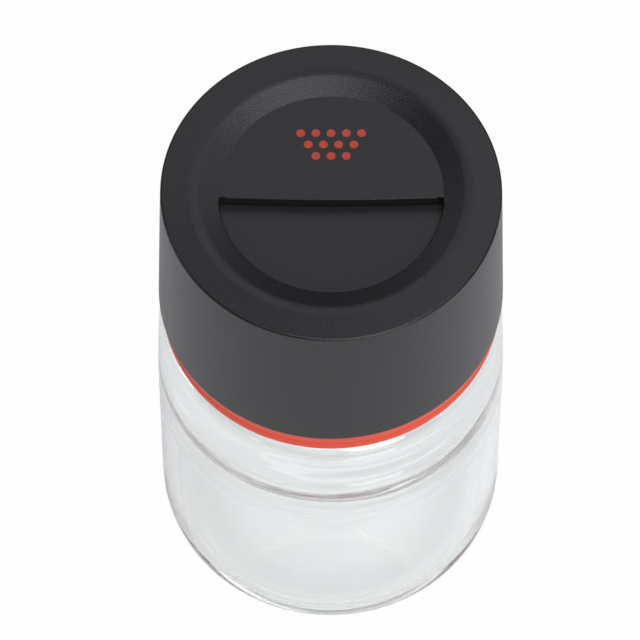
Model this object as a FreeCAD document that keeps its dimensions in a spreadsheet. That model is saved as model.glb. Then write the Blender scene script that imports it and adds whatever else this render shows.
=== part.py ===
# Spice jar with a twist-top shaker lid.
# Millimetres, +Z up. The origin is the middle of the circle that the glass stands on.
# The half-moon window of the closed lid faces -Y.
import FreeCAD, Part
import math
import os
from types import SimpleNamespace

import Sketcher

SIZES = {
    # Whole jar
    "total_height": 108.7,
    "body_radius": 30.75,
    # Glass jar
    "heel_round": 9.0,
    "stand_width": 3.0,
    "push_up": 2.2,
    "floor_height": 4.5,
    "glass_wall": 2.9,
    "inner_heel_round": 6.5,
    "shoulder_inset": 0.8,
    "shoulder_width": 1.5,
    "shoulder_drop": 1.6,
    "crown_sweep": 400.0,
    "inner_turn_drop": 18.4,
    "inner_turn_round": 10.0,
    "inner_slope_degrees": 45.0,
    "throat_round": 3.5,
    "neck_inset": 6.15,
    "neck_wall": 2.6,
    "neck_height": 20.6,
    "lip_bevel": 0.9,
    # Twist cap
    "lid_height": 34.2,
    "lid_inset": 0.7,
    "skirt_draft": 1.0,
    "rim_bevel": 0.7,
    "rim_width": 5.55,
    "rim_fall": 0.45,
    "dish_slope_width": 4.35,
    "dish_depth": 1.5,
    "cap_wall": 1.6,
    "cap_top": 1.8,
    "window_offset": 0.8,
    "window_bow": 0.45,
    "bead_height": 5.0,
    "bead_width": 1.2,
    "bead_depth": 0.7,
    "lug_width": 3.0,
    "lug_thick": 1.4,
    "lug_gap": 0.2,
    # Screw collar
    "turn_gap": 0.3,
    "thread_depth": 0.9,
    "thread_gap": 0.3,
    "spigot_wall": 1.2,
    "collar_rise": 0.3,
    "flange_thick": 2.0,
    "flange_reach": 3.4,
    "collar_top_gap": 2.2,
    "track_gap": 0.3,
    # Sealing ring
    "ring_height": 4.9,
    "ring_inset": 0.25,
    "ring_gap": 0.5,
    "ring_foot": 2.6,
    "ring_bevel": 0.4,
    "groove_height": 2.5,
    "groove_width": 0.5,
    "groove_depth": 0.25,
    "seat_gap": 0.1,
    # Mouth gasket
    "gasket_thick": 1.3,
    "gasket_side_gap": 0.2,
    # Sifter insert
    "press_gap": 0.1,
    "insert_wall": 1.4,
    "deck_thick": 1.6,
    "deck_gap": 0.5,
    "collar_insert_wall": 2.1,
    "sift_hole_radius": 1.3,
    "sift_row_margin": 2.1,
    "sift_row_pitch": 4.0,
    "outer_row_degrees": 152.0,
    "middle_row_degrees": 144.0,
    "inner_row_degrees": 120.0,
    # Shutter pad
    "pad_margin": 1.4,
    "pad_offset": 0.8,
    "pad_thick": 1.1,
    "pad_recess": 0.8,
    "pad_side_gap": 0.1,
}
SIFT_ROW_COUNTS = {"outer": 7, "middle": 5, "inner": 3}
QUARTER_TURN = 90.0
FULL_TURN = 360.0


class Length:
    """A value together with the sheet expression that it comes from."""

    def __init__(self, value, text):
        self.value = value
        self.text = text

    def __add__(self, other):
        other = as_length(other)
        return Length(self.value + other.value, f"({self.text} + {other.text})")

    def __sub__(self, other):
        other = as_length(other)
        return Length(self.value - other.value, f"({self.text} - {other.text})")

    def __mul__(self, other):
        other = as_length(other)
        return Length(self.value * other.value, f"({self.text} * {other.text})")

    def __truediv__(self, other):
        other = as_length(other)
        return Length(self.value / other.value, f"({self.text} / {other.text})")

    def __neg__(self):
        return Length(-self.value, f"(-{self.text})")


def as_length(number):
    return number if isinstance(number, Length) else Length(float(number), repr(float(number)))


def root(length):
    return Length(math.sqrt(length.value), f"sqrt({length.text})")


def sine(degrees):
    return Length(math.sin(math.radians(degrees.value)), f"sin({degrees.text})")


def cosine(degrees):
    return Length(math.cos(math.radians(degrees.value)), f"cos({degrees.text})")


doc = FreeCAD.newDocument("spice_jar")
sheet = doc.addObject("Spreadsheet::Sheet", "Sizes")
for row, (alias, number) in enumerate(SIZES.items(), start=1):
    sheet.set(f"A{row}", alias)
    sheet.set(f"B{row}", str(number))
    sheet.setAlias(f"B{row}", alias)
doc.recompute()
d = SimpleNamespace(**{alias: Length(number, f"Sizes.{alias}") for alias, number in SIZES.items()})
ZERO = as_length(0.0)


def new_body(name):
    body = doc.addObject("PartDesign::Body", name)
    body.Label = name
    return body


def new_sketch(body, name, role, height=None):
    """A sketch on one of the body's own origin planes, raised by a height where one is given."""
    sketch = body.newObject("Sketcher::SketchObject", name)
    plane = next(item for item in body.Origin.OriginFeatures if item.Role == role)
    sketch.AttachmentSupport = [(plane, "")]
    sketch.MapMode = "FlatFace"
    if height is not None:
        sketch.setExpression("AttachmentOffset.Base.z", height.text)
    return sketch


def bind(sketch, constraint, length):
    index = sketch.addConstraint(constraint)
    sketch.setExpression(f"Constraints[{index}]", length.text)


def pin_point(sketch, curve, end, x, y):
    """Holds one end of a curve at (x, y) from the sketch's origin."""
    for kind, axis, length in (("DistanceX", -2, x), ("DistanceY", -1, y)):
        if length.value == 0.0:
            sketch.addConstraint(Sketcher.Constraint("PointOnObject", curve, end, axis))
        elif length.value < 0.0:
            bind(sketch, Sketcher.Constraint(kind, curve, end, -1, 1, -length.value), -length)
        else:
            bind(sketch, Sketcher.Constraint(kind, -1, 1, curve, end, length.value), length)


def arc_between(start, end, radius, turn):
    """The short arc from start to end; turn is +1 where it bends to the left and -1 to the right."""
    chord = end - start
    half = chord.Length / 2.0
    side = FreeCAD.Vector(-chord.y, chord.x, 0).normalize() * turn
    centre = (start + end) * 0.5 + side * math.sqrt(max(radius * radius - half * half, 0.0))
    angles = [math.atan2(point.y - centre.y, point.x - centre.x) for point in (start, end)]
    if turn < 0:
        angles.reverse()
    return Part.ArcOfCircle(Part.Circle(centre, FreeCAD.Vector(0, 0, 1), radius), *angles)


def draw_outline(sketch, *steps):
    """A closed outline of corners. A corner (x, y) is followed by a line, and a corner (x, y, radius, turn)
    by an arc that bends to the left where turn is +1 and to the right where it is -1."""
    points = [FreeCAD.Vector(step[0].value, step[1].value, 0) for step in steps]
    starts, ends = [], []
    for step, here, there in zip(steps, points, points[1:] + points[:1]):
        forward = len(step) == 2 or step[3] > 0
        if len(step) == 2:
            shape = Part.LineSegment(here, there)
        else:
            shape = arc_between(here, there, step[2].value, step[3])
        curve = sketch.addGeometry(shape)
        starts.append((curve, 1 if forward else 2))
        ends.append((curve, 2 if forward else 1))
    for end, start in zip(ends, starts[1:] + starts[:1]):
        sketch.addConstraint(Sketcher.Constraint("Coincident", *end, *start))
    for step, (curve, head) in zip(steps, starts):
        pin_point(sketch, curve, head, step[0], step[1])
        if len(step) == 4:
            bind(sketch, Sketcher.Constraint("Radius", curve, step[2].value), step[2])


def revolve(body, name, *steps):
    """Turns a radius-height profile about the jar's axis."""
    sketch = new_sketch(body, f"{name}_profile", "XZ_Plane")
    draw_outline(sketch, *steps)
    feature = body.newObject("PartDesign::Revolution", name)
    feature.Profile = sketch
    feature.ReferenceAxis = (sketch, ["V_Axis"])
    feature.Angle = FULL_TURN
    return feature


def pad(body, name, sketch, length, downwards=False):
    feature = body.newObject("PartDesign::Pad", name)
    feature.Profile = sketch
    feature.setExpression("Length", length.text)
    feature.Reversed = downwards
    return feature


def pocket(body, name, sketch, length, upwards=False):
    feature = body.newObject("PartDesign::Pocket", name)
    feature.Profile = sketch
    feature.setExpression("Length", length.text)
    feature.Reversed = upwards
    return feature


def half_chord(radius, offset):
    """Half the width of a circle at an offset from its centre."""
    return root(radius * radius - offset * offset)


def dome_radius(half_width, rise):
    """The radius of the arc that rises by so much over a half width."""
    return (half_width * half_width + rise * rise) / (rise * 2)


# Heights and radii that two or more pieces share
lid_radius = d.body_radius - d.lid_inset
rim_radius = lid_radius - d.skirt_draft
dish_radius = rim_radius - d.rim_width
window_radius = dish_radius - d.dish_slope_width
pad_radius = window_radius - d.pad_margin
neck_radius = d.body_radius - d.neck_inset
mouth_radius = neck_radius - d.neck_wall
thread_bore = neck_radius + d.thread_depth + d.thread_gap
spigot_radius = thread_bore + d.spigot_wall
flange_bore = thread_bore - d.flange_reach
lid_bottom = d.total_height - d.lid_height
ring_top = lid_bottom - d.seat_gap
ring_bottom = ring_top - d.ring_height
foot_top = ring_bottom + d.ring_foot
shoulder_height = ring_bottom - d.seat_gap
lip_height = shoulder_height + d.neck_height
flange_under = lip_height + d.seat_gap + d.gasket_thick
flange_top = flange_under + d.flange_thick
dish_floor = d.total_height - d.dish_depth
plate_under = dish_floor - d.cap_top
rim_under = d.total_height - d.cap_top
deck_top = plate_under - d.deck_gap
collar_top = rim_under - d.collar_top_gap
bead_middle = lid_bottom + d.bead_height


def skirt(height):
    """The cap's outer radius at a height: the skirt widens a little downwards."""
    return rim_radius + d.skirt_draft * (d.total_height - height) / d.lid_height


def cap_bore(height):
    return skirt(height) - d.cap_wall


def collar_radius(height):
    return cap_bore(height) - d.turn_gap


insert_bore = collar_radius(collar_top) - d.collar_insert_wall
track_middle = (insert_bore + collar_radius(collar_top)) / 2


def make_glass_jar():
    """Blown glass: pushed-up base, rounded shoulder, coned inside, and a straight neck for the screw lid."""
    inner_radius = d.body_radius - d.glass_wall
    heel_radius = d.body_radius - d.heel_round
    stand_radius = heel_radius - d.stand_width
    shoulder_radius = d.body_radius - d.shoulder_inset
    shoulder_edge = shoulder_height - d.shoulder_drop
    crown_height = root(d.crown_sweep * d.shoulder_inset * 2 - d.shoulder_inset * d.shoulder_inset)
    inner_turn = shoulder_height - d.inner_turn_drop
    rise = sine(d.inner_slope_degrees)
    run = cosine(d.inner_slope_degrees)
    cone_bottom_radius = inner_radius - d.inner_turn_round + d.inner_turn_round * run
    cone_bottom = inner_turn + d.inner_turn_round * rise
    cone_top_radius = mouth_radius + d.throat_round - d.throat_round * run
    cone_top = cone_bottom + (cone_bottom_radius - cone_top_radius) * run / rise
    body = new_body("glass_jar")
    revolve(
        body, "jar_glass",
        (ZERO, d.push_up, dome_radius(stand_radius, d.push_up), -1),
        (stand_radius, ZERO),
        (heel_radius, ZERO, d.heel_round, 1),
        (d.body_radius, d.heel_round),
        (d.body_radius, shoulder_edge - crown_height, d.crown_sweep, 1),
        (shoulder_radius, shoulder_edge),
        (shoulder_radius - d.shoulder_width, shoulder_height),
        (neck_radius, shoulder_height),
        (neck_radius, lip_height - d.lip_bevel),
        (neck_radius - d.lip_bevel, lip_height),
        (mouth_radius + d.lip_bevel, lip_height),
        (mouth_radius, lip_height - d.lip_bevel),
        (mouth_radius, cone_top + d.throat_round * rise, d.throat_round, 1),
        (cone_top_radius, cone_top),
        (cone_bottom_radius, cone_bottom, d.inner_turn_round, -1),
        (inner_radius, inner_turn),
        (inner_radius, d.floor_height + d.inner_heel_round, d.inner_heel_round, -1),
        (inner_radius - d.inner_heel_round, d.floor_height),
        (ZERO, d.floor_height),
    )
    return body


def make_sealing_ring():
    """Silicone ring with an inner foot, held between the glass shoulder and the lid's lower edge."""
    ring_radius = lid_radius - d.ring_inset
    foot_bore = neck_radius + d.ring_gap
    rebate = spigot_radius + d.turn_gap
    groove_middle = ring_bottom + d.groove_height
    body = new_body("sealing_ring")
    revolve(
        body, "ring_section",
        (foot_bore, ring_bottom),
        (ring_radius - d.ring_bevel, ring_bottom),
        (ring_radius, ring_bottom + d.ring_bevel),
        (ring_radius, groove_middle - d.groove_width / 2),
        (ring_radius - d.groove_depth, groove_middle),
        (ring_radius, groove_middle + d.groove_width / 2),
        (ring_radius, ring_top - d.ring_bevel),
        (ring_radius - d.ring_bevel, ring_top),
        (rebate, ring_top),
        (rebate, foot_top),
        (foot_bore, foot_top),
    )
    return body


def make_screw_collar():
    """Inner lid part: screws on the neck, clamps the mouth gasket, and carries the cap on a snap groove."""
    shelf = lid_bottom + d.collar_rise
    groove_half = d.bead_width / 2 + d.turn_gap
    groove_floor = collar_radius(bead_middle) - d.bead_depth
    groove_low = bead_middle - groove_half - d.bead_depth
    groove_high = bead_middle + groove_half + d.bead_depth
    body = new_body("screw_collar")
    revolve(
        body, "collar_wall",
        (thread_bore, foot_top + d.seat_gap),
        (spigot_radius, foot_top + d.seat_gap),
        (spigot_radius, shelf),
        (collar_radius(shelf), shelf),
        (collar_radius(groove_low), groove_low),
        (groove_floor, bead_middle - groove_half),
        (groove_floor, bead_middle + groove_half),
        (collar_radius(groove_high), groove_high),
        (collar_radius(collar_top), collar_top),
        (insert_bore, collar_top),
        (insert_bore, flange_top),
        (flange_bore, flange_top),
        (flange_bore, flange_under),
        (thread_bore, flange_under),
    )
    # The raised track stops the cap's lug at each end of a half turn.
    outer = track_middle + d.lug_thick / 2
    inner = track_middle - d.lug_thick / 2
    end = d.lug_width / 2 + d.track_gap
    track = new_sketch(body, "stop_track_outline", "XY_Plane", collar_top)
    draw_outline(
        track,
        (half_chord(outer, end), -end, outer, -1),
        (ZERO, -outer, outer, -1),
        (-half_chord(outer, end), -end),
        (-half_chord(inner, end), -end, inner, 1),
        (ZERO, -inner, inner, 1),
        (half_chord(inner, end), -end),
    )
    pad(body, "stop_track", track, d.collar_top_gap - d.lug_gap)
    return body


def make_mouth_gasket():
    """Flat soft washer that the collar presses on the glass lip."""
    body = new_body("mouth_gasket")
    revolve(
        body, "gasket_section",
        (flange_bore, flange_under - d.gasket_thick),
        (thread_bore - d.gasket_side_gap, flange_under - d.gasket_thick),
        (thread_bore - d.gasket_side_gap, flange_under),
        (flange_bore, flange_under),
    )
    return body


def make_sifter_insert():
    """Cup pressed into the collar: its deck has a blank half in front and rows of holes behind."""
    outer = insert_bore - d.press_gap
    inner = outer - d.insert_wall
    body = new_body("sifter_insert")
    revolve(
        body, "insert_cup",
        (inner, flange_top),
        (outer, flange_top),
        (outer, deck_top),
        (ZERO, deck_top),
        (ZERO, deck_top - d.deck_thick),
        (inner, deck_top - d.deck_thick),
    )
    radius = pad_radius - d.sift_row_margin
    for name, count in SIFT_ROW_COUNTS.items():
        span = getattr(d, f"{name}_row_degrees")
        sketch = new_sketch(body, f"{name}_hole_outline", "XY_Plane", deck_top)
        first_hole = as_length(QUARTER_TURN) - span / 2
        sketch.setExpression("AttachmentOffset.Rotation.Angle", first_hole.text)
        centre = FreeCAD.Vector(radius.value, 0, 0)
        hole = sketch.addGeometry(Part.Circle(centre, FreeCAD.Vector(0, 0, 1), d.sift_hole_radius.value))
        pin_point(sketch, hole, 3, radius, ZERO)
        bind(sketch, Sketcher.Constraint("Radius", hole, d.sift_hole_radius.value), d.sift_hole_radius)
        cut = pocket(body, f"{name}_hole", sketch, d.deck_thick)
        doc.recompute()
        pattern = body.newObject("PartDesign::PolarPattern", f"{name}_holes")
        pattern.Originals = [cut]
        pattern.Axis = (sketch, ["N_Axis"])
        pattern.setExpression("Angle", span.text)
        pattern.Occurrences = round(count)
        body.Tip = pattern
        doc.recompute()
        radius = radius - d.sift_row_pitch
    return body


def make_twist_cap():
    """Outer lid part: dished top with a half-moon window, on a skirt that snaps over the collar."""
    bead_half = d.bead_width / 2
    bead_low = bead_middle - bead_half - d.bead_depth
    bead_high = bead_middle + bead_half + d.bead_depth
    bead_tip = cap_bore(bead_middle) - d.bead_depth
    rim_edge = d.total_height - d.rim_fall
    body = new_body("twist_cap")
    revolve(
        body, "cap_shell",
        (ZERO, plate_under),
        (window_radius, plate_under),
        (dish_radius, rim_under),
        (cap_bore(rim_under), rim_under),
        (cap_bore(bead_high), bead_high),
        (bead_tip, bead_middle + bead_half),
        (bead_tip, bead_middle - bead_half),
        (cap_bore(bead_low), bead_low),
        (cap_bore(lid_bottom), lid_bottom),
        (lid_radius, lid_bottom),
        (skirt(rim_edge - d.rim_bevel), rim_edge - d.rim_bevel),
        (rim_radius - d.rim_bevel, rim_edge),
        (dish_radius, d.total_height),
        (window_radius, dish_floor),
        (ZERO, dish_floor),
    )
    # Half-moon window: the dish's inner edge in front, and a slightly bowed edge just before the middle
    half_width = half_chord(window_radius, d.window_offset)
    window = new_sketch(body, "window_outline", "XY_Plane", dish_floor)
    draw_outline(
        window,
        (-half_width, -d.window_offset, window_radius, 1),
        (ZERO, -window_radius, window_radius, 1),
        (half_width, -d.window_offset, dome_radius(half_width, d.window_bow), -1),
    )
    pocket(body, "window", window, d.cap_top)
    # Shallow seat for the shutter pad under the closed half of the plate
    seat = new_sketch(body, "pad_seat_outline", "XY_Plane", plate_under)
    draw_outline(seat, *half_moon(pad_radius + d.pad_side_gap, d.pad_offset - d.pad_side_gap))
    pocket(body, "pad_seat", seat, d.pad_recess, upwards=True)
    # Lug that runs along the collar's stop track
    lug = new_sketch(body, "stop_lug_outline", "XY_Plane", rim_under)
    lug_in = track_middle - d.lug_thick / 2
    lug_out = track_middle + d.lug_thick / 2
    draw_outline(
        lug,
        (lug_in, -d.lug_width / 2),
        (lug_out, -d.lug_width / 2),
        (lug_out, d.lug_width / 2),
        (lug_in, d.lug_width / 2),
    )
    pad(body, "stop_lug", lug, d.collar_top_gap - d.lug_gap, downwards=True)
    return body


def half_moon(radius, offset):
    """The outline of the rear half of a disc, with its straight edge at y = offset."""
    half_width = half_chord(radius, offset)
    return (half_width, offset, radius, 1), (ZERO, radius, radius, 1), (-half_width, offset)


def make_shutter_pad():
    """Soft half-moon under the plate that closes the sifter holes while the window is at the front."""
    pad_top = plate_under + d.pad_recess
    body = new_body("shutter_pad")
    outline = new_sketch(body, "pad_outline", "XY_Plane", pad_top)
    draw_outline(outline, *half_moon(pad_radius, d.pad_offset))
    pad(body, "pad_sheet", outline, d.pad_thick, downwards=True)
    return body


pieces = [
    make_glass_jar(),
    make_sealing_ring(),
    make_screw_collar(),
    make_mouth_gasket(),
    make_sifter_insert(),
    make_twist_cap(),
    make_shutter_pad(),
]
doc.recompute()

for item in doc.Objects:
    if "Invalid" in item.State or "Error" in item.State:
        raise RuntimeError(f"{item.Name} failed: {item.State}")
for piece in pieces:
    if piece.Shape.isNull() or not piece.Shape.isValid() or len(piece.Shape.Solids) != 1:
        raise RuntimeError(f"{piece.Label} is not one valid solid")

os.makedirs("parts", exist_ok=True)
for piece in pieces:
    piece.Shape.exportStep(f"parts/{piece.Label}.step")
    box = piece.Shape.optimalBoundingBox()
    reach = f"z {box.ZMin:.2f} to {box.ZMax:.2f}, width {box.XLength:.2f}"
    print(f"{piece.Label}: {piece.Shape.Volume:.1f} mm3, {reach}")
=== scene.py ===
import math

import bpy
import mathutils
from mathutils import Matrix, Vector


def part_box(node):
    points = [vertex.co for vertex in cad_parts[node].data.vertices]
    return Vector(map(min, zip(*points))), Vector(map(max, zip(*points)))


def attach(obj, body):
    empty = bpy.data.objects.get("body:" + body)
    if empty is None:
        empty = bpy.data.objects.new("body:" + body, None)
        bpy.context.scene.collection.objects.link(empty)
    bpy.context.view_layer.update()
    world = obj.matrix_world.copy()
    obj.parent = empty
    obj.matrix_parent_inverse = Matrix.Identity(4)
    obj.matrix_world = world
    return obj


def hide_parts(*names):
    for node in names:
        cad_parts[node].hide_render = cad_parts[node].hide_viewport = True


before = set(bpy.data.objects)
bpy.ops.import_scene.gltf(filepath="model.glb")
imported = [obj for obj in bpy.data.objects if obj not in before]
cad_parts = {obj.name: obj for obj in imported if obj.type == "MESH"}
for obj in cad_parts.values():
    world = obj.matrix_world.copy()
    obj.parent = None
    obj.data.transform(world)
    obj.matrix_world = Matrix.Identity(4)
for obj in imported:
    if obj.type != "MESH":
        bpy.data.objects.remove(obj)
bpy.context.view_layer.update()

# Glass jar: clear soda glass, blown in a mould in one piece, with a thick pushed-up base and a soft shoulder.
# The plain neck carries a four-start thread that the lid screws on. Sizes are in millimetres, angles in degrees.
MM = 0.001
SIDES = 192
WELD = 0.001 * MM
SMOOTH_BELOW = math.radians(40)
jar_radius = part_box("glass_jar")[1].x / MM
lip_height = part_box("glass_jar")[1].z / MM
heel_round = 9.0
stand_width = 3.0
push_up = 2.2
floor_height = 4.5
glass_wall = 2.9
inner_heel_round = 6.5
shoulder_height = 69.4
shoulder_inset = 0.8
shoulder_width = 1.5
crown_sweep = 400.0
inner_turn_height = 51.0
inner_turn_round = 10.0
inner_slope = 45.0
wave_height = 49.0
wave_width = 11.0
wave_depth = 0.8
wave_steps = 32
base_steps = 24
throat_round = 3.5
neck_inset = 6.15
neck_wall = 2.6
neck_root_round = 0.4
lip_round = 1.2


def arc(centre_radius, centre_height, radius, start, end, steps):
    """Points (radius, height) along a part of a circle, with its angles in degrees from straight outwards."""
    angles = [math.radians(start + (end - start) * step / steps) for step in range(steps + 1)]
    return [(centre_radius + radius * math.cos(a), centre_height + radius * math.sin(a)) for a in angles]


def turn_profile(name, points):
    """Draws a profile by extruding one vertex from point to point, and spins it about the jar's axis."""
    bpy.ops.object.select_all(action="DESELECT")
    bpy.ops.mesh.primitive_plane_add(size=MM, location=(0, 0, 0))
    piece = bpy.context.object
    piece.name = piece.data.name = name
    bpy.ops.object.mode_set(mode="EDIT")
    bpy.ops.mesh.select_all(action="SELECT")
    bpy.ops.mesh.merge(type="CENTER")
    radius, height = points[0]
    bpy.ops.transform.translate(value=(radius * MM, 0, height * MM))
    for (radius, height), (next_radius, next_height) in zip(points, points[1:]):
        step = ((next_radius - radius) * MM, 0, (next_height - height) * MM)
        bpy.ops.mesh.extrude_vertices_move(TRANSFORM_OT_translate={"value": step})
    bpy.ops.mesh.select_all(action="SELECT")
    bpy.ops.mesh.spin(steps=SIDES, angle=math.tau, center=(0, 0, 0), axis=(0, 0, 1))
    bpy.ops.mesh.select_all(action="SELECT")
    bpy.ops.mesh.remove_doubles(threshold=WELD)
    bpy.ops.mesh.normals_make_consistent(inside=False)
    bpy.ops.object.mode_set(mode="OBJECT")
    bpy.ops.object.shade_smooth_by_angle(angle=SMOOTH_BELOW)
    return piece


inner_radius = jar_radius - glass_wall
neck_radius = jar_radius - neck_inset
mouth_radius = neck_radius - neck_wall
heel_radius = jar_radius - heel_round
stand_radius = heel_radius - stand_width
shoulder_radius = jar_radius - shoulder_inset
crown_angle = math.degrees(math.acos(1 - shoulder_inset / crown_sweep))
crown_height = crown_sweep * math.sin(math.radians(crown_angle))
shoulder_edge = shoulder_height - shoulder_width
# Inside, the wall turns in to a short cone that leads to the neck.
slope = math.radians(inner_slope)
cone_bottom_radius = inner_radius - inner_turn_round * (1 - math.cos(slope))
cone_top_radius = mouth_radius + throat_round * (1 - math.cos(slope))
cone_top = (inner_turn_height + inner_turn_round * math.sin(slope)
            + (cone_bottom_radius - cone_top_radius) / math.tan(slope))
throat_height = cone_top + throat_round * math.sin(slope)


def inner_wall(height):
    """Radius of the inside: the glass sagged into one soft wave just under the turn, while it was still hot."""
    rise = max(height - inner_turn_height, 0)
    turn = inner_turn_round - math.sqrt(inner_turn_round ** 2 - rise ** 2)
    share = min(abs(height - wave_height) / (wave_width / 2), 1)
    return inner_radius - turn - wave_depth / 2 * (1 + math.cos(math.pi * share))


wave_top = wave_height + wave_width / 2
wave_slope = math.degrees(math.asin((wave_top - inner_turn_height) / inner_turn_round))
wave_heights = [wave_top - wave_width * step / wave_steps for step in range(1, wave_steps + 1)]
# The pushed-up base runs out level on the standing ring, in one long soft wave.
base_radii = [stand_radius * step / base_steps for step in range(base_steps + 1)]
jar_profile = [
    *[(radius, push_up / 2 * (1 + math.cos(math.pi * radius / stand_radius))) for radius in base_radii],
    *arc(heel_radius, heel_round, heel_round, -90, 0, 18),
    *arc(jar_radius - crown_sweep, shoulder_edge - crown_height, crown_sweep, 0, crown_angle, 10),
    *arc(shoulder_radius - shoulder_width, shoulder_edge, shoulder_width, crown_angle, 90, 10),
    *arc(neck_radius + neck_root_round, shoulder_height + neck_root_round, neck_root_round, 270, 180, 4),
    *arc(neck_radius - lip_round, lip_height - lip_round, lip_round, 0, 90, 8),
    *arc(mouth_radius + lip_round, lip_height - lip_round, lip_round, 90, 180, 8),
    *arc(mouth_radius + throat_round, throat_height, throat_round, 180, 180 + inner_slope, 8),
    *arc(inner_radius - inner_turn_round, inner_turn_height, inner_turn_round,
         inner_slope, wave_slope, 14),
    *[(inner_wall(height), height) for height in wave_heights],
    *arc(inner_radius - inner_heel_round, floor_height + inner_heel_round, inner_heel_round, 0, -90, 16),
    (0, floor_height),
]
jar = turn_profile("clear_glass_jar", jar_profile)

# Four ridges of half a turn each climb the neck, and are melted into the glass.
thread_lead = 10.0
thread_starts = 4
thread_bottom = 79.0
ridge_width = 1.2
ridge_crest = 0.6
ridge_depth = 0.7
ridge_root = 0.2
ridge_steps = 72


def thread_ridges(name, wall_radius, depth, root, bottom):
    """Sweeps one ridge up half a turn from the wall, outwards or inwards, and repeats it for every start."""
    bpy.ops.object.select_all(action="DESELECT")
    bpy.ops.mesh.primitive_plane_add(size=MM, location=(0, 0, 0))
    ridges = bpy.context.object
    ridges.name = ridges.data.name = name
    bpy.ops.object.mode_set(mode="EDIT")
    bpy.ops.mesh.select_all(action="SELECT")
    bpy.ops.mesh.merge(type="CENTER")
    bpy.ops.transform.translate(value=((wall_radius + root) * MM, 0, (bottom - ridge_width / 2) * MM))
    slant = (ridge_width - ridge_crest) / 2
    for run, rise in ((-root, 0), (depth, slant), (0, ridge_crest), (-depth, slant), (root, 0)):
        bpy.ops.mesh.extrude_vertices_move(TRANSFORM_OT_translate={"value": (run * MM, 0, rise * MM)})
    bpy.ops.mesh.select_all(action="SELECT")
    bpy.ops.mesh.edge_face_add()
    bpy.ops.mesh.delete(type="ONLY_FACE")
    bpy.ops.object.mode_set(mode="OBJECT")
    bpy.ops.object.modifier_add(type="SCREW")
    sweep = ridges.modifiers[-1]
    sweep.angle = math.pi
    sweep.screw_offset = thread_lead / 2 * MM
    sweep.steps = sweep.render_steps = ridge_steps
    bpy.ops.object.modifier_apply(modifier=sweep.name)
    bpy.ops.object.mode_set(mode="EDIT")
    bpy.ops.mesh.select_all(action="SELECT")
    bpy.ops.mesh.remove_doubles(threshold=WELD)
    bpy.ops.mesh.select_all(action="SELECT")
    bpy.ops.mesh.fill_holes(sides=0)
    bpy.ops.mesh.select_all(action="SELECT")
    bpy.ops.mesh.normals_make_consistent(inside=False)
    for start in range(1, thread_starts):
        bpy.ops.mesh.duplicate()
        bpy.ops.transform.rotate(value=math.tau / thread_starts, orient_axis="Z", center_override=(0, 0, 0))
    bpy.ops.object.mode_set(mode="OBJECT")
    bpy.ops.object.shade_smooth_by_angle(angle=SMOOTH_BELOW)
    return ridges


def melt_in(piece, addition):
    """Makes an addition one body with a piece, which stays the active object."""
    bpy.ops.object.select_all(action="DESELECT")
    piece.select_set(True)
    bpy.context.view_layer.objects.active = piece
    bpy.ops.object.modifier_add(type="BOOLEAN")
    union = piece.modifiers[-1]
    union.operation = "UNION"
    union.object = addition
    bpy.ops.object.modifier_apply(modifier=union.name)
    bpy.data.objects.remove(addition)


neck_ridges = thread_ridges("neck_ridges", neck_radius, ridge_depth, -ridge_root, thread_bottom)
melt_in(jar, neck_ridges)
bpy.ops.object.shade_smooth_by_angle(angle=SMOOTH_BELOW)

glass_tint = (0.985, 0.994, 0.987, 1)
swell_stretch = (60, 60, 22)
swell_depth = 0.25
ripple_stretch = (22, 22, 230)
ripple_depth = 0.7
ripple_bottom = 42
ripple_full = 50
clear_glass = bpy.data.materials.new("clear_glass")
clear_glass.use_nodes = True
glass_nodes = clear_glass.node_tree.nodes
glass_links = clear_glass.node_tree.links
glass = glass_nodes["Principled BSDF"]
glass.inputs["Base Color"].default_value = glass_tint
glass.inputs["Roughness"].default_value = 0.0
glass.inputs["IOR"].default_value = 1.5
glass.inputs["Transmission Weight"].default_value = 1.0
glass_place = glass_nodes.new("ShaderNodeTexCoord")
glass_parts = glass_nodes.new("ShaderNodeSeparateXYZ")
glass_links.new(glass_place.outputs["Object"], glass_parts.inputs["Vector"])
# The walls swell and thin very slightly, as blown glass does.
swell_mapping = glass_nodes.new("ShaderNodeMapping")
swell_mapping.inputs["Scale"].default_value = swell_stretch
swell_noise = glass_nodes.new("ShaderNodeTexNoise")
swell_noise.inputs["Scale"].default_value = 1.0
swell_noise.inputs["Detail"].default_value = 1.0
swell_bump = glass_nodes.new("ShaderNodeBump")
swell_bump.inputs["Strength"].default_value = 0.25
swell_bump.inputs["Distance"].default_value = swell_depth * MM
glass_links.new(glass_place.outputs["Object"], swell_mapping.inputs["Vector"])
glass_links.new(swell_mapping.outputs["Vector"], swell_noise.inputs["Vector"])
glass_links.new(swell_noise.outputs["Fac"], swell_bump.inputs["Height"])
# From the wave upwards the glass is also streaked by fine level ripples.
ripple_mapping = glass_nodes.new("ShaderNodeMapping")
ripple_mapping.inputs["Scale"].default_value = ripple_stretch
ripple_noise = glass_nodes.new("ShaderNodeTexNoise")
ripple_noise.inputs["Scale"].default_value = 1.0
ripple_noise.inputs["Detail"].default_value = 1.0
ripple_zone = glass_nodes.new("ShaderNodeMapRange")
ripple_zone.inputs["From Min"].default_value = ripple_bottom * MM
ripple_zone.inputs["From Max"].default_value = ripple_full * MM
ripple_height = glass_nodes.new("ShaderNodeMath")
ripple_height.operation = "MULTIPLY"
ripple_bump = glass_nodes.new("ShaderNodeBump")
ripple_bump.inputs["Strength"].default_value = 1.0
ripple_bump.inputs["Distance"].default_value = ripple_depth * MM
glass_links.new(glass_place.outputs["Object"], ripple_mapping.inputs["Vector"])
glass_links.new(ripple_mapping.outputs["Vector"], ripple_noise.inputs["Vector"])
glass_links.new(glass_parts.outputs["Z"], ripple_zone.inputs["Value"])
glass_links.new(ripple_noise.outputs["Fac"], ripple_height.inputs[0])
glass_links.new(ripple_zone.outputs["Result"], ripple_height.inputs[1])
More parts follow.
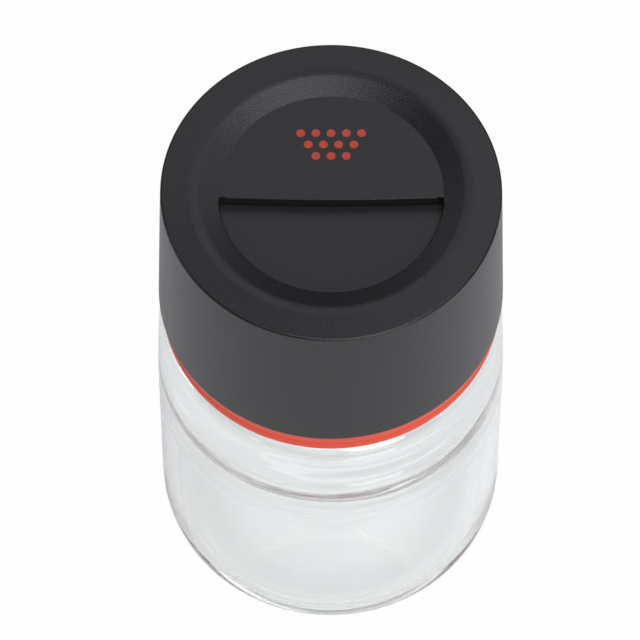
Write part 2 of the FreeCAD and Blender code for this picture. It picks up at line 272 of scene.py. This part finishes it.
glass_links.new(ripple_height.outputs["Value"], ripple_bump.inputs["Height"])
glass_links.new(swell_bump.outputs["Normal"], ripple_bump.inputs["Normal"])
glass_links.new(ripple_bump.outputs["Normal"], glass.inputs["Normal"])
# Light goes through the walls to the table, but little of it through the thick heel, which throws a darker ring.
wall_shadow = (0.95, 0.965, 0.965, 1)
heel_shadow = (0.5, 0.51, 0.51, 1)
glass_path = glass_nodes.new("ShaderNodeLightPath")
glass_through = glass_nodes.new("ShaderNodeBsdfTransparent")
glass_flat = glass_nodes.new("ShaderNodeVectorMath")
glass_flat.operation = "MULTIPLY"
glass_flat.inputs[1].default_value = (1, 1, 0)
glass_reach = glass_nodes.new("ShaderNodeVectorMath")
glass_reach.operation = "LENGTH"
heel_out = glass_nodes.new("ShaderNodeMapRange")
heel_out.inputs["From Min"].default_value = (stand_radius - stand_width) * MM
heel_out.inputs["From Max"].default_value = heel_radius * MM
heel_up = glass_nodes.new("ShaderNodeMapRange")
heel_up.inputs["From Min"].default_value = heel_round * MM
heel_up.inputs["From Max"].default_value = 2 * heel_round * MM
heel_up.inputs["To Min"].default_value = 1.0
heel_up.inputs["To Max"].default_value = 0.0
heel_share = glass_nodes.new("ShaderNodeMath")
heel_share.operation = "MULTIPLY"
glass_shade = glass_nodes.new("ShaderNodeMixRGB")
glass_shade.inputs["Color1"].default_value = wall_shadow
glass_shade.inputs["Color2"].default_value = heel_shadow
glass_links.new(glass_place.outputs["Object"], glass_flat.inputs[0])
glass_links.new(glass_flat.outputs["Vector"], glass_reach.inputs[0])
glass_links.new(glass_reach.outputs["Value"], heel_out.inputs["Value"])
glass_links.new(glass_parts.outputs["Z"], heel_up.inputs["Value"])
glass_links.new(heel_out.outputs["Result"], heel_share.inputs[0])
glass_links.new(heel_up.outputs["Result"], heel_share.inputs[1])
glass_links.new(heel_share.outputs["Value"], glass_shade.inputs["Fac"])
glass_links.new(glass_shade.outputs["Color"], glass_through.inputs["Color"])
glass_mix = glass_nodes.new("ShaderNodeMixShader")
glass_links.new(glass_path.outputs["Is Shadow Ray"], glass_mix.inputs["Fac"])
# Seen edge on, the heel's outline is made partly see-through and tinted grey: a painted grey edge line over the table
# behind it, standing in for the light and shade that the glass bends there.
painted_edge_start = 0.75
painted_edge_full = 0.95
painted_edge_grey = (0.8, 0.81, 0.81, 1)
painted_edge_facing = glass_nodes.new("ShaderNodeLayerWeight")
painted_edge_facing.inputs["Blend"].default_value = 0.5
painted_edge_range = glass_nodes.new("ShaderNodeMapRange")
painted_edge_range.inputs["From Min"].default_value = painted_edge_start
painted_edge_range.inputs["From Max"].default_value = painted_edge_full
painted_edge_share = glass_nodes.new("ShaderNodeMath")
painted_edge_share.operation = "MULTIPLY"
# The grey of this see-through mix is the painted edge shade on the heel's outline.
painted_edge_clear = glass_nodes.new("ShaderNodeBsdfTransparent")
painted_edge_clear.inputs["Color"].default_value = painted_edge_grey
painted_edge_mix = glass_nodes.new("ShaderNodeMixShader")
glass_links.new(painted_edge_facing.outputs["Facing"], painted_edge_range.inputs["Value"])
glass_links.new(painted_edge_range.outputs["Result"], painted_edge_share.inputs[0])
glass_links.new(heel_up.outputs["Result"], painted_edge_share.inputs[1])
glass_links.new(painted_edge_share.outputs["Value"], painted_edge_mix.inputs["Fac"])
glass_links.new(glass.outputs["BSDF"], painted_edge_mix.inputs[1])
glass_links.new(painted_edge_clear.outputs["BSDF"], painted_edge_mix.inputs[2])
glass_links.new(painted_edge_mix.outputs["Shader"], glass_mix.inputs[1])
glass_links.new(glass_through.outputs["BSDF"], glass_mix.inputs[2])
glass_links.new(glass_mix.outputs["Shader"], glass_nodes["Material Output"].inputs["Surface"])
jar.data.materials.append(clear_glass)
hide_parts("glass_jar")
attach(jar, "jar")

# Sealing ring: one moulding of red silicone, with a foot inside that the lid presses on the glass shoulder.
# A shallow groove runs round its outside, and it stands a little inside the solid's radius.
ring_low, ring_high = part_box("sealing_ring")
ring_inset = 0.25
ring_radius = ring_high.x / MM - ring_inset
ring_bottom = ring_low.z / MM
ring_top = ring_high.z / MM
ring_round = 0.5
ring_lower_round = 0.8
ring_bore = 25.1
ring_rebate = 27.3
foot_top = ring_bottom + 2.6
groove_middle = ring_bottom + 2.5
groove_half = 0.3
groove_depth = 0.15
ring_profile = [
    (ring_bore, ring_bottom),
    *arc(ring_radius - ring_lower_round, ring_bottom + ring_lower_round, ring_lower_round, -90, 0, 6),
    (ring_radius, groove_middle - groove_half),
    (ring_radius - groove_depth, groove_middle),
    (ring_radius, groove_middle + groove_half),
    *arc(ring_radius - ring_round, ring_top - ring_round, ring_round, 0, 90, 6),
    (ring_rebate, ring_top),
    (ring_rebate, foot_top),
    (ring_bore, foot_top),
    (ring_bore, ring_bottom),
]
ring = turn_profile("red_sealing_ring", ring_profile)

ring_red = (0.87, 0.072, 0.024, 1)
red_silicone = bpy.data.materials.new("red_silicone")
red_silicone.use_nodes = True
silicone_nodes = red_silicone.node_tree.nodes
silicone_links = red_silicone.node_tree.links
silicone = silicone_nodes["Principled BSDF"]
silicone.inputs["Base Color"].default_value = ring_red
silicone.inputs["Roughness"].default_value = 0.45
silicone.inputs["Subsurface Weight"].default_value = 0.15
silicone.inputs["Subsurface Radius"].default_value = (1.0, 0.25, 0.12)
silicone.inputs["Subsurface Scale"].default_value = 0.8 * MM
silicone_place = silicone_nodes.new("ShaderNodeTexCoord")
silicone_grain = silicone_nodes.new("ShaderNodeTexNoise")
silicone_grain.inputs["Scale"].default_value = 2500
silicone_grain.inputs["Detail"].default_value = 2.0
silicone_bump = silicone_nodes.new("ShaderNodeBump")
silicone_bump.inputs["Strength"].default_value = 0.15
silicone_bump.inputs["Distance"].default_value = 0.05 * MM
silicone_links.new(silicone_place.outputs["Object"], silicone_grain.inputs["Vector"])
silicone_links.new(silicone_grain.outputs["Fac"], silicone_bump.inputs["Height"])
silicone_links.new(silicone_bump.outputs["Normal"], silicone.inputs["Normal"])
ring.data.materials.append(red_silicone)
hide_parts("sealing_ring")
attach(ring, "seal")

# Screw collar: the inner half of the lid, moulded in black plastic, with a flange that presses the gasket.
# Four thread ridges inside its skirt hold under the ridges of the neck.
thread_bore = 25.8
collar_ridge_depth = 0.8
plastic_black = (0.007, 0.0072, 0.008)


def moulded_plastic(name, colour, grain_size, grain_strength, roughness):
    """Dark plastic with the fine pitted grain that a spark-eroded mould leaves, and slow changes of tone."""
    patch_size = 14
    patch_share = 0.1
    gloss_share = 0.06
    pit_depth = 0.06
    finish = bpy.data.materials.new(name)
    finish.use_nodes = True
    kit = finish.node_tree.nodes
    wire = finish.node_tree.links
    surface = kit["Principled BSDF"]
    surface.inputs["Specular IOR Level"].default_value = 0.48
    place = kit.new("ShaderNodeTexCoord")
    grain = kit.new("ShaderNodeTexNoise")
    grain.inputs["Scale"].default_value = 1 / (grain_size * MM)
    grain.inputs["Detail"].default_value = 3.0
    grain.inputs["Roughness"].default_value = 0.65
    patches = kit.new("ShaderNodeTexNoise")
    patches.inputs["Scale"].default_value = 1 / (patch_size * MM)
    patches.inputs["Detail"].default_value = 2.0
    tone = kit.new("ShaderNodeMixRGB")
    tone.inputs["Color1"].default_value = (*[part * (1 - patch_share) for part in colour], 1)
    tone.inputs["Color2"].default_value = (*[part * (1 + patch_share) for part in colour], 1)
    gloss = kit.new("ShaderNodeMapRange")
    gloss.inputs["To Min"].default_value = roughness - gloss_share
    gloss.inputs["To Max"].default_value = roughness + gloss_share
    bump = kit.new("ShaderNodeBump")
    bump.inputs["Strength"].default_value = grain_strength
    bump.inputs["Distance"].default_value = pit_depth * MM
    wire.new(place.outputs["Object"], grain.inputs["Vector"])
    wire.new(place.outputs["Object"], patches.inputs["Vector"])
    wire.new(patches.outputs["Fac"], tone.inputs["Fac"])
    wire.new(tone.outputs["Color"], surface.inputs["Base Color"])
    wire.new(grain.outputs["Fac"], gloss.inputs["Value"])
    wire.new(gloss.outputs["Result"], surface.inputs["Roughness"])
    wire.new(grain.outputs["Fac"], bump.inputs["Height"])
    wire.new(bump.outputs["Normal"], surface.inputs["Normal"])
    return finish


def dress(node, finish):
    """Gives a piece that keeps its own solid a finish."""
    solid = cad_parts[node].data
    solid.materials.clear()
    solid.materials.append(finish)


inner_plastic = moulded_plastic("inner_plastic", plastic_black, grain_size=0.3, grain_strength=0.25, roughness=0.45)
dress("screw_collar", inner_plastic)
ridge_pitch = thread_lead / thread_starts
collar_ridges = thread_ridges("collar_ridges", thread_bore, -collar_ridge_depth, ridge_root,
                              thread_bottom - ridge_pitch / 2)
collar_ridges.data.materials.append(inner_plastic)
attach(collar_ridges, "collar")

# Sifter insert: a shallow cup of the same black plastic, pressed into the collar.
# Its blank front half is the floor of the lid's window, and the rear half has the sifting holes.
dress("sifter_insert", inner_plastic)

# Mouth gasket and shutter pad: soft pale silicone, punched from sheet.
# The gasket lies on the glass lip, and the pad sits in a shallow seat under the cap's plate.
pale_silicone = bpy.data.materials.new("pale_silicone")
pale_silicone.use_nodes = True
sheet_nodes = pale_silicone.node_tree.nodes
sheet_links = pale_silicone.node_tree.links
sheet = sheet_nodes["Principled BSDF"]
sheet.inputs["Roughness"].default_value = 0.5
sheet.inputs["Subsurface Weight"].default_value = 0.2
sheet.inputs["Subsurface Radius"].default_value = (1.0, 0.9, 0.8)
sheet.inputs["Subsurface Scale"].default_value = 0.8 * MM
sheet_place = sheet_nodes.new("ShaderNodeTexCoord")
sheet_cloud = sheet_nodes.new("ShaderNodeTexNoise")
sheet_cloud.inputs["Scale"].default_value = 180
sheet_cloud.inputs["Detail"].default_value = 3.0
sheet_tone = sheet_nodes.new("ShaderNodeMixRGB")
sheet_tone.inputs["Color1"].default_value = (0.66, 0.66, 0.64, 1)
sheet_tone.inputs["Color2"].default_value = (0.74, 0.74, 0.72, 1)
sheet_bump = sheet_nodes.new("ShaderNodeBump")
sheet_bump.inputs["Strength"].default_value = 0.1
sheet_bump.inputs["Distance"].default_value = 0.05 * MM
sheet_links.new(sheet_place.outputs["Object"], sheet_cloud.inputs["Vector"])
sheet_links.new(sheet_cloud.outputs["Fac"], sheet_tone.inputs["Fac"])
sheet_links.new(sheet_tone.outputs["Color"], sheet.inputs["Base Color"])
sheet_links.new(sheet_cloud.outputs["Fac"], sheet_bump.inputs["Height"])
sheet_links.new(sheet_bump.outputs["Normal"], sheet.inputs["Normal"])
dress("mouth_gasket", pale_silicone)
dress("shutter_pad", pale_silicone)

# Twist cap: the outer half of the lid, black plastic moulded in one piece, with a dished top.
# The front half of the dish's floor is open: a half-moon window over the sifter.
cap_low, cap_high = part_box("twist_cap")
lid_radius = cap_high.x / MM
rim_height = cap_high.z / MM
lid_bottom = cap_low.z / MM
rim_radius = 29.05
rim_round = 0.45
rim_fall = 0.45
cap_wall = 1.6
cap_top = 1.8
dish_radius = 23.5
dish_round = 1.1
dish_depth = 1.5
window_radius = 19.15
window_offset = 0.8
window_bow = 0.45
pad_seat_radius = 17.85
pad_seat_depth = 0.8
edge_break = 0.2
window_break = 0.25
bow_cuts = 31
CAP_SIDES = 256
SAME = 0.002
CAP_WELD = 0.004 * MM
CAP_SMOOTH_BELOW = math.radians(15)
dish_floor = rim_height - dish_depth
plate_under = dish_floor - cap_top
rim_under = rim_height - cap_top
rim_edge = rim_height - rim_fall


def select_edges(piece, wanted):
    """Selects the edges of a piece in edit mode whose two ends both pass a test on (radius, x, y, z) in mm."""
    bpy.ops.mesh.select_all(action="DESELECT")
    bpy.ops.object.mode_set(mode="OBJECT")
    corners = piece.data.vertices
    for edge in piece.data.edges:
        ends = [corners[index].co / MM for index in edge.vertices]
        edge.select = all(wanted(math.hypot(p.x, p.y), p.x, p.y, p.z) for p in ends)
    bpy.ops.object.mode_set(mode="EDIT")


def pull_ring(points, start):
    """Extrudes the selected ring of edges along a profile that starts at the ring's own radius and height."""
    radius, height = start
    for next_radius, next_height in points:
        share = next_radius / radius
        bpy.ops.mesh.extrude_edges_move()
        bpy.ops.transform.resize(value=(share, share, 1), center_override=(0, 0, 0))
        bpy.ops.transform.translate(value=(0, 0, (next_height - height) * MM))
        radius, height = next_radius, next_height


def near(value, target):
    """Whether two lengths in millimetres are the same."""
    return abs(value - target) < SAME


bpy.ops.object.select_all(action="DESELECT")
bpy.ops.mesh.primitive_circle_add(vertices=CAP_SIDES, radius=window_radius * MM, fill_type="NGON",
                                  location=(0, 0, dish_floor * MM))
cap = bpy.context.object
cap.name = cap.data.name = "black_twist_cap"
bpy.ops.object.transform_apply(location=True)
bpy.ops.object.mode_set(mode="EDIT")
bpy.ops.mesh.select_mode(type="EDGE")

# The disc is cut along the window's rear edge, its front half is opened, and the cut is bowed a little forwards.
bpy.ops.mesh.select_all(action="SELECT")
bpy.ops.mesh.bisect(plane_co=(0, -window_offset * MM, 0), plane_no=(0, 1, 0))
bpy.ops.object.mode_set(mode="OBJECT")
for face in cap.data.polygons:
    face.select = face.center.y < -window_offset * MM
bpy.ops.object.mode_set(mode="EDIT")
bpy.ops.mesh.select_mode(type="FACE")
bpy.ops.mesh.delete(type="ONLY_FACE")
bpy.ops.mesh.select_mode(type="EDGE")
select_edges(cap, lambda radius, x, y, z: near(y, -window_offset))
bpy.ops.mesh.subdivide(number_cuts=bow_cuts)
bpy.ops.object.mode_set(mode="OBJECT")
half_width = math.sqrt(window_radius ** 2 - window_offset ** 2)
for corner in cap.data.vertices:
    if near(corner.co.y / MM, -window_offset):
        corner.co.y -= window_bow * MM * (1 - (corner.co.x / MM / half_width) ** 2)
bpy.ops.object.mode_set(mode="EDIT")

# The dish, rim, skirt, lower edge, snap bead and underside are pulled from the disc's round edge.
bead_middle = lid_bottom + 5.0
bead_half = 0.6
bead_depth = 0.7
lower_round = 0.25
bead_foot = bead_middle - bead_half - bead_depth
bead_head = bead_middle + bead_half + bead_depth
skirt_rings = (8, 16, 24)


def skirt(height):
    """The cap's outer radius at a height."""
    return rim_radius + (lid_radius - rim_radius) * (rim_height - height) / (rim_height - lid_bottom)


def bore(height):
    """The cap's inner radius at a height."""
    return skirt(height) - cap_wall


select_edges(cap, lambda radius, x, y, z: near(radius, window_radius))
pull_ring([
    (dish_radius, rim_height),
    *arc(rim_radius - rim_round, rim_edge - rim_round, rim_round, 90, 3, 8),
    *[(skirt(rim_height - drop), rim_height - drop) for drop in skirt_rings],
    *arc(lid_radius - lower_round, lid_bottom + lower_round, lower_round, 0, -90, 4),
    (bore(lid_bottom), lid_bottom),
    (bore(bead_foot), bead_foot),
    (bore(bead_middle) - bead_depth, bead_middle - bead_half),
    (bore(bead_middle) - bead_depth, bead_middle + bead_half),
    (bore(bead_head), bead_head),
    (bore(rim_under), rim_under),
    (dish_radius, rim_under),
    (window_radius, plate_under),
], (window_radius, dish_floor))

# The window's walls drop from the plate's edge and the dish's front edge, and the plate's underside is closed.
select_edges(cap, lambda radius, x, y, z: near(z, dish_floor) and y < -window_offset + SAME)
bpy.ops.mesh.extrude_edges_move(TRANSFORM_OT_translate={"value": (0, 0, -cap_top * MM)})
bpy.ops.mesh.select_all(action="SELECT")
bpy.ops.mesh.remove_doubles(threshold=CAP_WELD)
select_edges(cap, lambda radius, x, y, z: near(z, plate_under) and radius < window_radius + SAME
             and (y > -window_offset - SAME or radius < window_radius - 5 * SAME))
bpy.ops.mesh.edge_face_add()
bpy.ops.mesh.inset(thickness=(window_radius - pad_seat_radius) * MM)
bpy.ops.mesh.extrude_region_move(TRANSFORM_OT_translate={"value": (0, 0, pad_seat_depth * MM)})
bpy.ops.mesh.select_all(action="SELECT")
bpy.ops.mesh.normals_make_consistent(inside=False)

# Moulded edges: the plate's front edge, the window's round edge and the dish's outer edge are broken by small rounds.
corner_room = 0.5
select_edges(cap, lambda radius, x, y, z: near(z, dish_floor) and y < -window_offset + SAME
             and radius < window_radius - corner_room)
bpy.ops.mesh.bevel(offset=edge_break * MM, segments=3, profile=0.5)
select_edges(cap, lambda radius, x, y, z: near(z, dish_floor) and near(radius, window_radius)
             and y < -window_offset - 2 * corner_room)
bpy.ops.mesh.bevel(offset=window_break * MM, segments=3, profile=0.5)
select_edges(cap, lambda radius, x, y, z: near(z, rim_height) and near(radius, dish_radius))
bpy.ops.mesh.bevel(offset=dish_round * MM, segments=8, profile=0.5)
bpy.ops.object.mode_set(mode="OBJECT")

# A small lug under the rim, in one with the cap, runs in the collar's stop track and ends the cap's half turn.
track_radius = 26.22
lug_thick = 1.4
lug_width = 3.0
lug_drop = 2.0
lug_root = 0.4
bpy.ops.object.select_all(action="DESELECT")
lug_middle = rim_under - (lug_drop - lug_root) / 2
bpy.ops.mesh.primitive_cube_add(size=MM, location=(track_radius * MM, 0, lug_middle * MM),
                                scale=(lug_thick, lug_width, lug_drop + lug_root))
lug = bpy.context.object
bpy.ops.object.transform_apply(location=True, scale=True)
bpy.ops.object.mode_set(mode="EDIT")
bpy.ops.mesh.select_all(action="SELECT")
bpy.ops.mesh.bevel(offset=edge_break * MM, segments=3, profile=0.5)
bpy.ops.object.mode_set(mode="OBJECT")
melt_in(cap, lug)
bpy.ops.object.shade_smooth_by_angle(angle=CAP_SMOOTH_BELOW)
bpy.ops.object.modifier_add(type="WEIGHTED_NORMAL")
cap.modifiers[-1].keep_sharp = True
bpy.ops.object.modifier_apply(modifier=cap.modifiers[-1].name)

black_plastic = moulded_plastic("black_plastic", plastic_black, grain_size=0.4, grain_strength=0.8, roughness=0.36)
cap.data.materials.append(black_plastic)
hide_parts("twist_cap")
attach(cap, "cap")

# Printed mark: a plain sprinkle of dots in red ink, in three rows.
# It is pad-printed on the rear plate of the cap.
dot_radius = 0.75
dot_sides = 32
dot_pitch = 2.6
dot_rows = (5, 4, 3)
mark_middle = 9.6
print_thick = 0.03
dots = []
for row, count in enumerate(dot_rows):
    for place in range(count):
        bpy.ops.object.select_all(action="DESELECT")
        x = (place - (count - 1) / 2) * dot_pitch
        y = mark_middle + (1 - row) * dot_pitch * math.sqrt(3) / 2
        bpy.ops.mesh.primitive_circle_add(vertices=dot_sides, radius=dot_radius * MM, fill_type="NGON",
                                          location=(x * MM, y * MM, dish_floor * MM))
        bpy.ops.object.transform_apply(location=True)
        bpy.ops.object.mode_set(mode="EDIT")
        bpy.ops.mesh.select_all(action="SELECT")
        bpy.ops.mesh.extrude_region_move(TRANSFORM_OT_translate={"value": (0, 0, print_thick * MM)})
        bpy.ops.mesh.select_all(action="SELECT")
        bpy.ops.mesh.normals_make_consistent(inside=False)
        bpy.ops.object.mode_set(mode="OBJECT")
        dots.append(bpy.context.object)
for dot in dots:
    dot.select_set(True)
bpy.ops.object.join()
mark = bpy.context.object
mark.name = mark.data.name = "printed_sprinkle_mark"
red_print = bpy.data.materials.new("red_print")
red_print.use_nodes = True
print_nodes = red_print.node_tree.nodes
print_links = red_print.node_tree.links
ink = print_nodes["Principled BSDF"]
ink.inputs["Roughness"].default_value = 0.5
ink_place = print_nodes.new("ShaderNodeTexCoord")
ink_speckle = print_nodes.new("ShaderNodeTexNoise")
ink_speckle.inputs["Scale"].default_value = 3500
ink_speckle.inputs["Detail"].default_value = 2.0
ink_tone = print_nodes.new("ShaderNodeMixRGB")
ink_tone.inputs["Color1"].default_value = (0.4, 0.036, 0.018, 1)
ink_tone.inputs["Color2"].default_value = (0.52, 0.05, 0.025, 1)
print_links.new(ink_place.outputs["Object"], ink_speckle.inputs["Vector"])
print_links.new(ink_speckle.outputs["Fac"], ink_tone.inputs["Fac"])
print_links.new(ink_tone.outputs["Color"], ink.inputs["Base Color"])
mark.data.materials.append(red_print)
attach(mark, "cap")

# Table: a plain matt floor in pale paint, just under the jar, which keeps the jar's soft shadow.
# It is nearly white to the camera, and shows a part of that white in the glass and in gloss.
floor_gap = 0.1
floor_size = 6
white_share = {"Is Camera Ray": 0.97, "Is Glossy Ray": 0.12, "Is Transmission Ray": 0.45}
bpy.ops.object.select_all(action="DESELECT")
bpy.ops.mesh.primitive_plane_add(size=floor_size, location=(0, 0, -floor_gap * MM))
floor = bpy.context.object
floor.name = "floor"
pale_floor = bpy.data.materials.new("pale_floor")
pale_floor.use_nodes = True
floor_nodes = pale_floor.node_tree.nodes
floor_links = pale_floor.node_tree.links
floor_paint = floor_nodes["Principled BSDF"]
floor_paint.inputs["Base Color"].default_value = (0.85, 0.85, 0.85, 1)
floor_paint.inputs["Roughness"].default_value = 0.9
floor_paint.inputs["Specular IOR Level"].default_value = 0.0
floor_glow = floor_nodes.new("ShaderNodeEmission")
floor_glow.inputs["Color"].default_value = (1, 1, 1, 1)
floor_path = floor_nodes.new("ShaderNodeLightPath")
floor_mix = floor_nodes.new("ShaderNodeMixShader")
floor_share = None
for ray, share in white_share.items():
    part = floor_nodes.new("ShaderNodeMath")
    part.operation = "MULTIPLY"
    part.inputs[1].default_value = share
    floor_links.new(floor_path.outputs[ray], part.inputs[0])
    if floor_share:
        most = floor_nodes.new("ShaderNodeMath")
        most.operation = "MAXIMUM"
        floor_links.new(floor_share.outputs["Value"], most.inputs[0])
        floor_links.new(part.outputs["Value"], most.inputs[1])
        part = most
    floor_share = part
floor_links.new(floor_share.outputs["Value"], floor_mix.inputs["Fac"])
floor_links.new(floor_paint.outputs["BSDF"], floor_mix.inputs[1])
floor_links.new(floor_glow.outputs["Emission"], floor_mix.inputs[2])
floor_links.new(floor_mix.outputs["Shader"], floor_nodes["Material Output"].inputs["Surface"])
floor.data.materials.append(pale_floor)

# Studio light: a dim room with a paler horizon, and cool soft boxes overhead, behind, and in front on the right.
# A narrow strip stands on the left. The rear box shows in the lid's dish, but not through the glass.
horizon_tone = (0.2, 0.207, 0.215, 1)
ceiling_tone = (0.045, 0.047, 0.05, 1)
lamp_colour = (0.94, 0.955, 1.0)
jar_middle = 60
world = bpy.data.worlds.new("studio")
bpy.context.scene.world = world
world.use_nodes = True
room_nodes = world.node_tree.nodes
room_links = world.node_tree.links
room = room_nodes["Background"]
room_place = room_nodes.new("ShaderNodeTexCoord")
room_height = room_nodes.new("ShaderNodeSeparateXYZ")
room_shade = room_nodes.new("ShaderNodeValToRGB")
room_shade.color_ramp.elements[0].position = 0.02
room_shade.color_ramp.elements[0].color = horizon_tone
room_shade.color_ramp.elements[1].position = 0.22
room_shade.color_ramp.elements[1].color = ceiling_tone
room_path = room_nodes.new("ShaderNodeLightPath")
room_mix = room_nodes.new("ShaderNodeMixRGB")
room_mix.inputs["Color2"].default_value = (1, 1, 1, 1)
room_links.new(room_place.outputs["Generated"], room_height.inputs["Vector"])
room_links.new(room_height.outputs["Z"], room_shade.inputs["Fac"])
room_links.new(room_shade.outputs["Color"], room_mix.inputs["Color1"])
room_white = room_nodes.new("ShaderNodeMath")
room_white.operation = "MAXIMUM"
room_links.new(room_path.outputs["Is Camera Ray"], room_white.inputs[0])
# The camera sees the room as white. Through the glass the horizon is white too, and the ceiling is greyer.
glass_room = room_nodes.new("ShaderNodeMapRange")
glass_room.inputs["From Min"].default_value = 0.2
glass_room.inputs["From Max"].default_value = 0.5
glass_room.inputs["To Min"].default_value = 1.0
glass_room.inputs["To Max"].default_value = 0.4
glass_white = room_nodes.new("ShaderNodeMath")
glass_white.operation = "MULTIPLY"
room_links.new(room_height.outputs["Z"], glass_room.inputs["Value"])
room_links.new(glass_room.outputs["Result"], glass_white.inputs[0])
room_links.new(room_path.outputs["Is Transmission Ray"], glass_white.inputs[1])
room_links.new(glass_white.outputs["Value"], room_white.inputs[1])
room_links.new(room_white.outputs["Value"], room_mix.inputs["Fac"])
room_links.new(room_mix.outputs["Color"], room.inputs["Color"])


def soft_box(name, place, width, height, power):
    """A rectangular lamp that faces the jar and isn't seen itself."""
    lamp = bpy.data.lights.new(name, "AREA")
    lamp.shape = "RECTANGLE"
    lamp.size = width
    lamp.size_y = height
    lamp.energy = power
    lamp.color = lamp_colour
    box = bpy.data.objects.new(name, lamp)
    bpy.context.scene.collection.objects.link(box)
    box.location = place
    target = mathutils.Vector((0, 0, jar_middle * MM))
    box.rotation_euler = (target - box.location).to_track_quat("-Z", "Y").to_euler()
    box.visible_camera = False
    return box


soft_box("overhead_soft_box", (0.16, -0.26, 1.0), width=0.95, height=0.6, power=5.8)
rear_soft_box = soft_box("rear_soft_box", (0.14, 0.7, 1.05), width=1.7, height=0.65, power=4.1)
rear_soft_box.visible_transmission = False
soft_box("front_soft_box", (0.45, -1.0, 0.55), width=0.6, height=0.7, power=6.6)
soft_box("left_strip", (-0.9, 0.05, 0.35), width=0.2, height=0.7, power=1.2)

# Camera: a long lens from the front, about 61 degrees above the table, as the photograph was taken.
# Light is followed through many walls of glass before it is given up.
focal_pixels = 6011
picture_width = 640
elevation = math.radians(61.23)
camera_distance = 1.060
aim = mathutils.Vector((-0.00189, 0, 0.0625))
lens = bpy.data.cameras.new("camera")
lens.sensor_width = 36
lens.lens = focal_pixels / picture_width * lens.sensor_width
lens.clip_start = 0.05
lens.clip_end = 20
camera = bpy.data.objects.new("camera", lens)
bpy.context.scene.collection.objects.link(camera)
away = mathutils.Vector((0, -math.cos(elevation), math.sin(elevation)))
camera.location = aim + away * camera_distance
camera.rotation_euler = (-away).to_track_quat("-Z", "Y").to_euler()
bpy.context.scene.camera = camera
bpy.context.scene.view_settings.view_transform = "Standard"
bpy.context.scene.cycles.max_bounces = 32
bpy.context.scene.cycles.glossy_bounces = 24
bpy.context.scene.cycles.transmission_bounces = 24
